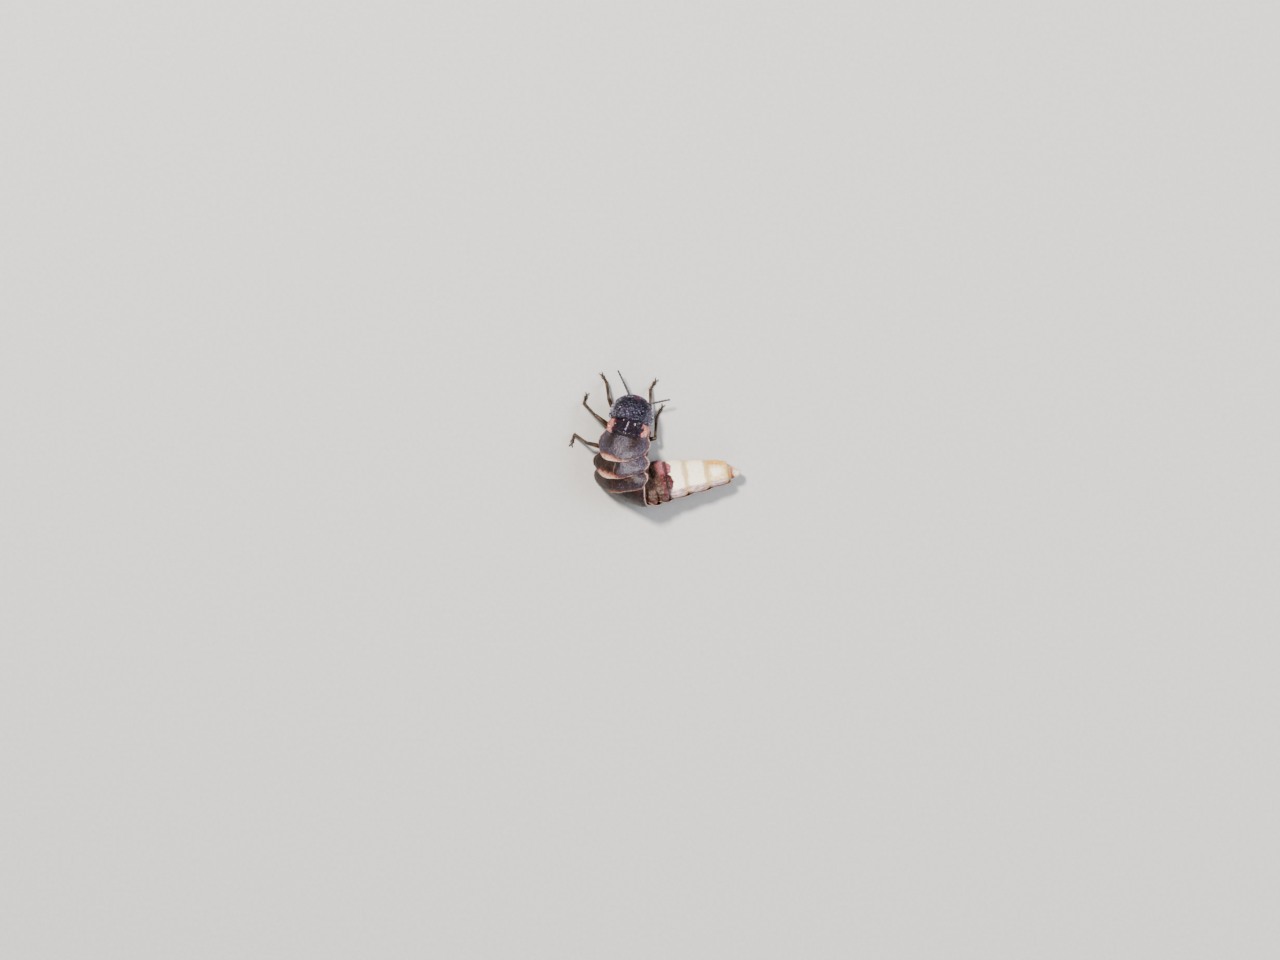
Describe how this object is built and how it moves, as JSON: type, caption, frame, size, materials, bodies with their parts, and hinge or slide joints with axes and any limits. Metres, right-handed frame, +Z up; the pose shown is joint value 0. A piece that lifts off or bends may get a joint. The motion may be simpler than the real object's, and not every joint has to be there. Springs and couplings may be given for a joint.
{
  "type": "female glow-worm",
  "caption": "Life-size wingless female firefly standing on its legs, with the abdomen curled and twisted so that the pale light organs under the tail face up.",
  "frame": {"origin": "middle of the footprint, on the floor that the feet and the abdomen rest on", "axes": "+Z up, away from the floor and out of the back of the thorax; +Y towards the head; +X to the animal's right, the way the tail points"},
  "size_m": [0.0165, 0.0131, 0.0052],
  "materials": {
    "shield_cuticle": "black-brown sclerotised cuticle, finely pitted, with a blue-violet sheen and paler margins",
    "back_cuticle": "dark brown, finely granular cuticle with cream and pink hind edges",
    "flank_skin": "pink-brown folded membrane and brown belly plates",
    "light_organ": "creamy translucent cuticle over the light organs",
    "amber_cuticle": "thin amber cuticle of the last segments",
    "head_cuticle": "glossy black-brown cuticle",
    "eye": "black compound eye with fine facets",
    "antenna_cuticle": "dark grey cuticle with short pale hairs",
    "leg_cuticle": "glossy dark brown cuticle with short hairs"
  },
  "bodies": {
    "root": {"pronotum": "shield_cuticle", "prothorax": "flank_skin", "mesonotum": "back_cuticle", "mesothorax": "flank_skin", "metanotum": "back_cuticle", "metathorax": "flank_skin", "tergite_1": "back_cuticle", "tergite_2": "back_cuticle", "tergite_3": "back_cuticle", "tergite_4": "back_cuticle", "tergite_5": "back_cuticle", "tergite_6": "back_cuticle", "tergite_7": "back_cuticle", "tergite_8": "back_cuticle", "abdomen_base": "flank_skin", "abdomen_bend": "flank_skin", "sternite_5": "flank_skin", "sternite_6": "light_organ", "sternite_7": "light_organ", "sternite_8": "amber_cuticle", "tail_tip": "amber_cuticle", "head": "head_cuticle", "eye_left": "eye", "eye_right": "eye", "antenna_left": "antenna_cuticle", "antenna_right": "antenna_cuticle", "leg_front_left": "leg_cuticle", "leg_front_right": "leg_cuticle", "leg_middle_left": "leg_cuticle", "leg_middle_right": "leg_cuticle", "leg_hind_left": "leg_cuticle", "leg_hind_right": "leg_cuticle"}
  },
  "joints": []
}
